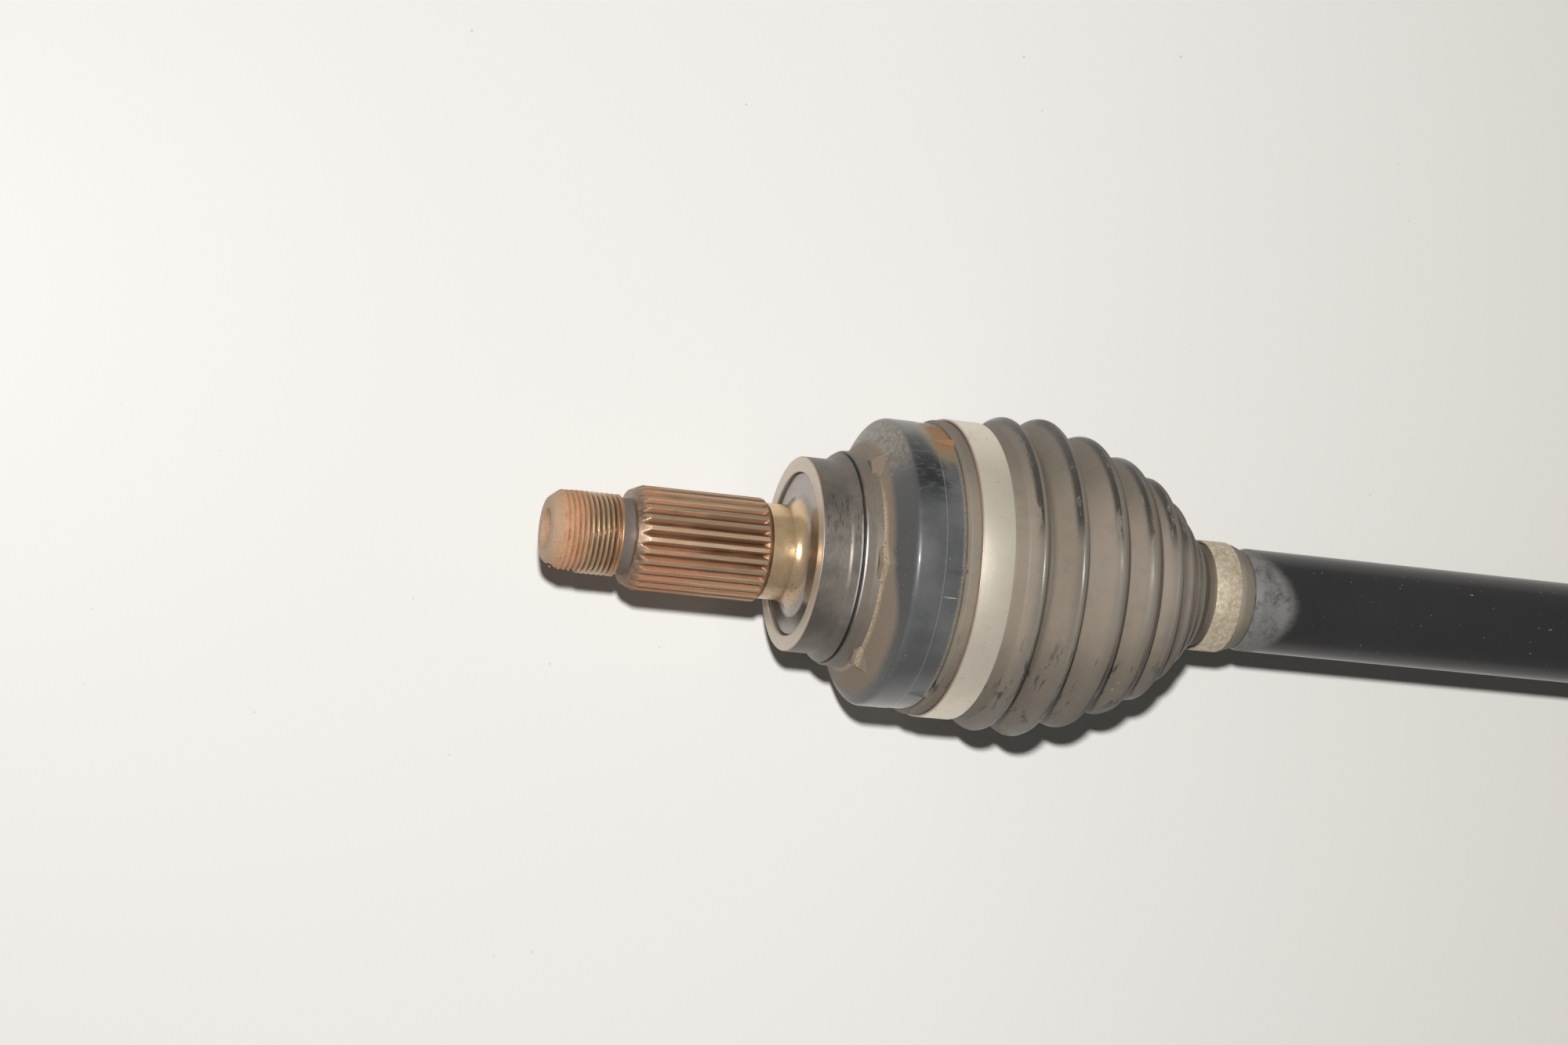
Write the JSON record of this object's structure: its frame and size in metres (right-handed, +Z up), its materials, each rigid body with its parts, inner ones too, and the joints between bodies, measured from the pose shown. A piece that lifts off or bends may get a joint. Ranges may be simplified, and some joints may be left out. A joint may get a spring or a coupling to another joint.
{
  "type": "drive shaft",
  "caption": "Car half shaft: ball joint with threaded, splined stub at the wheel end, hollow shaft, and a plunging roller joint at the gearbox end, with rubber boots.",
  "frame": {"origin": "on the shaft's axis, half way between the two tips", "axes": "+X along the shaft from the wheel end to the gearbox end, +Z up"},
  "size_m": [0.7, 0.0964, 0.0964],
  "materials": {
    "forged_stub": "black paint on the bell, bare machined and rusted steel on the stub",
    "bearing_steel": "ground and oiled",
    "ball_steel": "polished",
    "spring_steel": "dark, oiled",
    "boot_rubber": "satin with dust",
    "clamp_steel": "satin band",
    "galvanised_clamp": "mottled zinc",
    "shaft_paint": "gloss black",
    "tulip_steel": "black on the tulip, bare steel on the journal and spline"
  },
  "bodies": {
    "shaft": {"shaft_tube": "shaft_paint", "outer_inner_race": "bearing_steel", "outer_race_circlip": "spring_steel", "outer_clamp_small": "galvanised_clamp", "inner_clamp_small": "galvanised_clamp", "inner_spider": "bearing_steel", "inner_stop_ring": "spring_steel", "inner_spider_circlip": "spring_steel", "inner_roller_clip_1": "spring_steel", "inner_roller_clip_2": "spring_steel", "inner_roller_clip_3": "spring_steel"},
    "outer_housing": {"outer_housing": "forged_stub", "outer_boot": "boot_rubber", "outer_clamp_large": "clamp_steel"},
    "outer_cage": {"outer_cage": "bearing_steel", "outer_ball_1": "ball_steel", "outer_ball_2": "ball_steel", "outer_ball_3": "ball_steel", "outer_ball_4": "ball_steel", "outer_ball_5": "ball_steel", "outer_ball_6": "ball_steel"},
    "inner_boot": {"inner_boot": "boot_rubber"},
    "inner_housing": {"inner_housing": "tulip_steel", "inner_clamp_large": "clamp_steel", "stub_circlip": "spring_steel"},
    "inner_roller_1": {"inner_roller_1": "ball_steel", "inner_needles_1": "ball_steel"},
    "inner_roller_2": {"inner_roller_2": "ball_steel", "inner_needles_2": "ball_steel"},
    "inner_roller_3": {"inner_roller_3": "ball_steel", "inner_needles_3": "ball_steel"}
  },
  "joints": [
    {"name": "outer_bend", "type": "hinge", "parent": "shaft", "child": "outer_housing", "pos_m": [-0.235, 0, 0], "axis": [0, 0, 1], "range_deg": [-40, 40], "deforming": ["outer_boot"]},
    {"name": "outer_cage_tilt", "type": "hinge", "parent": "shaft", "child": "outer_cage", "pos_m": [-0.235, 0, 0], "axis": [0, 0, 1], "range_deg": [-20, 20]},
    {"name": "inner_bend", "type": "hinge", "parent": "shaft", "child": "inner_boot", "pos_m": [0.209, 0, 0], "axis": [0, 0, 1], "range_deg": [-18, 18], "deforming": ["inner_boot"]},
    {"name": "inner_plunge", "type": "slide", "parent": "inner_boot", "child": "inner_housing", "axis": [1, 0, 0], "range_m": [-0.018, 0.012]},
    {"name": "inner_roller_1_spin", "type": "hinge", "parent": "shaft", "child": "inner_roller_1", "pos_m": [0.209, 0, 0], "axis": [0, 0, 1], "range_deg": [-65, 65]},
    {"name": "inner_roller_2_spin", "type": "hinge", "parent": "shaft", "child": "inner_roller_2", "pos_m": [0.209, 0, 0], "axis": [0, -0.866, -0.5], "range_deg": [-65, 65]},
    {"name": "inner_roller_3_spin", "type": "hinge", "parent": "shaft", "child": "inner_roller_3", "pos_m": [0.209, 0, 0], "axis": [0, 0.866, -0.5], "range_deg": [-65, 65]}
  ],
  "couplings": [
    {"joint": "outer_cage_tilt", "follows": "outer_bend", "ratio": 0.5},
    {"joint": "inner_roller_1_spin", "follows": "inner_plunge", "rad_per_m": 60.606},
    {"joint": "inner_roller_2_spin", "follows": "inner_plunge", "rad_per_m": 60.606},
    {"joint": "inner_roller_3_spin", "follows": "inner_plunge", "rad_per_m": 60.606}
  ]
}
